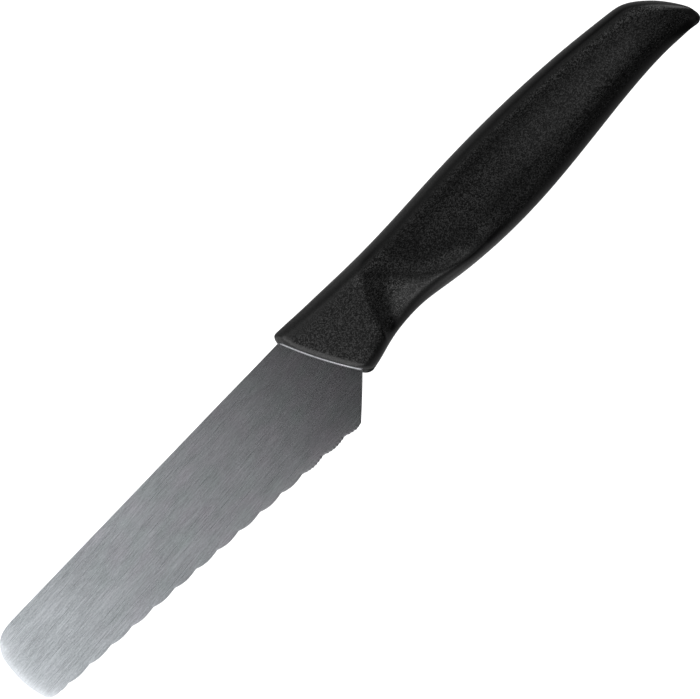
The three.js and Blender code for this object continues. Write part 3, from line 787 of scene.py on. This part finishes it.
verts, faces, added_sheen, rolled, bead_shade = build_blade()
blade = make_piece("blade_sheet", verts, faces, steel, 30)
point_values(blade, "ground_edge", added_sheen)
point_values(blade, "rolled_tip_and_highlight", rolled)
point_values(blade, "bead", bead_shade)
uv = blade.data.uv_layers.new(name="brush")
turn = math.radians(BRUSH_TURN)
co = np.zeros(len(blade.data.vertices) * 3, np.float32)
blade.data.vertices.foreach_get("co", co)
co = co.reshape(-1, 3)
loop_v = np.zeros(len(blade.data.loops), np.int32)
blade.data.loops.foreach_get("vertex_index", loop_v)
across = -co[:, 0] * math.sin(turn) + co[:, 1] * math.cos(turn)
along = co[:, 0] * math.cos(turn) + co[:, 1] * math.sin(turn)
uv.data.foreach_set("uv", np.stack([across[loop_v] * 4 + 0.5, along[loop_v] * 4 + 0.5], -1).astype(np.float32).ravel())
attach(blade, "root")
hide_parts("blade")

verts, faces, maps = build_grip()
grip = make_piece("grip_moulding", verts, faces, black, 38)
for name, values in maps.items():
    point_values(grip, name, values)
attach(grip, "root")
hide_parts("handle")

# ------------------------------------------------------------------------------------------------
# camera: square on to the flat of the blade, the tip at the lower left
# ------------------------------------------------------------------------------------------------
TURN = 46.18  # degrees between the spine and the image's horizontal
MM_PER_PX = 0.2261
CENTRE = (105.46, -12.80)  # knife coordinates at the middle of the image
DIST = 0.55
cam_data = bpy.data.cameras.new("camera")
cam = bpy.data.objects.new("camera", cam_data)
bpy.context.scene.collection.objects.link(cam)
at = to_frame([CENTRE[0], CENTRE[1], SHEET])
cam.location = (at[0], at[1], at[2] + DIST)
cam.rotation_euler = (0, 0, math.radians(-TURN))
cam_data.sensor_width = 36
cam_data.sensor_fit = "HORIZONTAL"
cam_data.lens = 36 * DIST * 1000 / (700 * MM_PER_PX)
cam_data.clip_start, cam_data.clip_end = 0.01, 50
bpy.context.scene.camera = cam

# ------------------------------------------------------------------------------------------------
# floor and light
# ------------------------------------------------------------------------------------------------
me = bpy.data.meshes.new("floor")
me.from_pydata([(-4, -4, -0.00046), (4, -4, -0.00046), (4, 4, -0.00046), (-4, 4, -0.00046)], [], [(0, 1, 2, 3)])
floor = bpy.data.objects.new("floor", me)
bpy.context.scene.collection.objects.link(floor)
m, nt, b = new_material("pale_floor")
b.inputs["Base Color"].default_value = (0.9, 0.9, 0.9, 1)
b.inputs["Roughness"].default_value = 0.8
b.inputs["Emission Color"].default_value = (1, 1, 1, 1)
b.inputs["Emission Strength"].default_value = 1.0
me.materials.append(m)
floor.visible_glossy = floor.visible_diffuse = False  # the set is kept dark below the knife, as on a raised glass table

def panel(name, at, size, radiance, turn=(0, 0, 0)):
    """A soft panel of even brightness."""
    d = bpy.data.lights.new(name, "AREA")
    d.shape, d.size, d.size_y = "RECTANGLE", size[0], size[1]
    d.energy = math.pi * size[0] * size[1] * radiance
    o = bpy.data.objects.new(name, d)
    o.location, o.rotation_euler = at, turn
    bpy.context.scene.collection.objects.link(o)


# a large overhead bank beyond the tip that fades out before it stands over the knife, and a dimmer one on the butt's
# side. Each line is a strip across the knife: where it lies along the knife, and its panels as far, width and brightness
BANK = [
    (-1.2, -0.8, [(-0.9, 0.9, 1.155)]),
    (-0.8, -0.5, [(-0.9, -0.35, 1.45), (-0.35, 0.12, 1.4), (0.12, 0.9, 1.34)]),
    (-0.5, -0.3, [(-0.9, 0.12, 1.49), (0.12, 0.35, 1.35), (0.35, 0.9, 1.26)]),
    (-0.3, -0.2, [(-0.9, -0.35, 0.87), (-0.35, 0.12, 0.785), (0.12, 0.35, 0.62), (0.35, 0.9, 0.815)]),
    (-0.2, -0.12, [(-0.9, -0.35, 0.51), (-0.35, -0.12, 0.305), (-0.12, 0.12, 0.413), (0.12, 0.35, 0.605), (0.35, 0.9, 0.755)]),
    (-0.12, -0.05, [(-0.9, -0.35, 0.41), (-0.35, 0.12, 0.287), (0.12, 0.35, 0.235), (0.35, 0.9, 0.33)]),
    (-0.05, 0.05, [(-0.9, -0.35, 0.282), (0.35, 0.9, 0.155)]),
    (0.05, 0.15, [(-0.9, -0.35, 0.165), (-0.35, -0.12, 0.058), (-0.12, 0.12, 0.245), (0.12, 0.35, 0.395), (0.35, 0.9, 0.2)]),
    (0.15, 0.35, [(-0.9, -0.35, 0.235), (-0.35, -0.12, 0.365), (-0.12, 0.12, 0.56), (0.12, 0.35, 0.755), (0.35, 0.9, 0.08)]),
    (0.35, 0.7, [(-0.9, -0.12, 0.172), (-0.12, 0.12, 0.274), (0.12, 0.35, 0.509), (0.35, 0.9, 0.242)]),
    (0.7, 1.2, [(-0.9, -0.12, 0.16), (-0.12, 0.12, 0.295), (0.12, 0.9, 0.355)]),
    (-1.2, -0.3, [(0.9, 1.4, 0.188), (-1.4, -0.9, 0.352)]),
    (-0.3, 0.0, [(0.9, 1.4, 0.233), (-1.4, -0.9, 0.065)]),
]
for k, (x0, x1, row) in enumerate(BANK):
    for n, (y0, y1, radiance) in enumerate(row):
        panel(f"panel_{k}_{n}", ((x0 + x1) / 2, (y0 + y1) / 2, 0.8), (x1 - x0, y1 - y0), radiance)

# the walls of the studio: bright beyond the tip, grey on the spine's side and at the butt, nearly black elsewhere
WALLS = [((-1, 0, 0), 0.45, 0.95, 0.84), ((1, 0, 0), 0.45, 0.95, 0.115), ((0, 0, -1), -0.1, 0.5, 0.202), ((-0.5, -0.85, 0.1), 0.6, 0.95, 0.212),
         ((-0.5, 0.85, 0.1), 0.6, 0.95, 0.342), ((0.55, 0.6, 0.58), 0.75, 0.95, 0.366), ((0.92, 0.3, 0.25), 0.92, 0.99, 1.5)]
world = bpy.data.worlds.new("studio")
bpy.context.scene.world = world
world.use_nodes = True
wt = world.node_tree
way = wt.nodes.new("ShaderNodeTexCoord").outputs["Generated"]
total = None
for axis, lo, hi, radiance in WALLS:
    d = wt.nodes.new("ShaderNodeVectorMath")
    d.operation = "DOT_PRODUCT"
    d.inputs[1].default_value = axis
    wt.links.new(way, d.inputs[0])
    r = wt.nodes.new("ShaderNodeMapRange")
    r.interpolation_type = "SMOOTHSTEP"
    r.inputs["From Min"].default_value, r.inputs["From Max"].default_value, r.inputs["To Max"].default_value = lo, hi, radiance
    wt.links.new(d.outputs["Value"], r.inputs["Value"])
    total = r.outputs[0] if total is None else maths(wt, "ADD", total, r.outputs[0])
seen = wt.nodes.new("ShaderNodeLightPath")
backdrop = maths(wt, "MAXIMUM", total, seen.outputs["Is Camera Ray"])
wt.links.new(backdrop, wt.nodes["Background"].inputs["Strength"])
wt.nodes["Background"].inputs["Color"].default_value = (1, 1, 1, 1)

bpy.context.scene.view_settings.view_transform = "Standard"
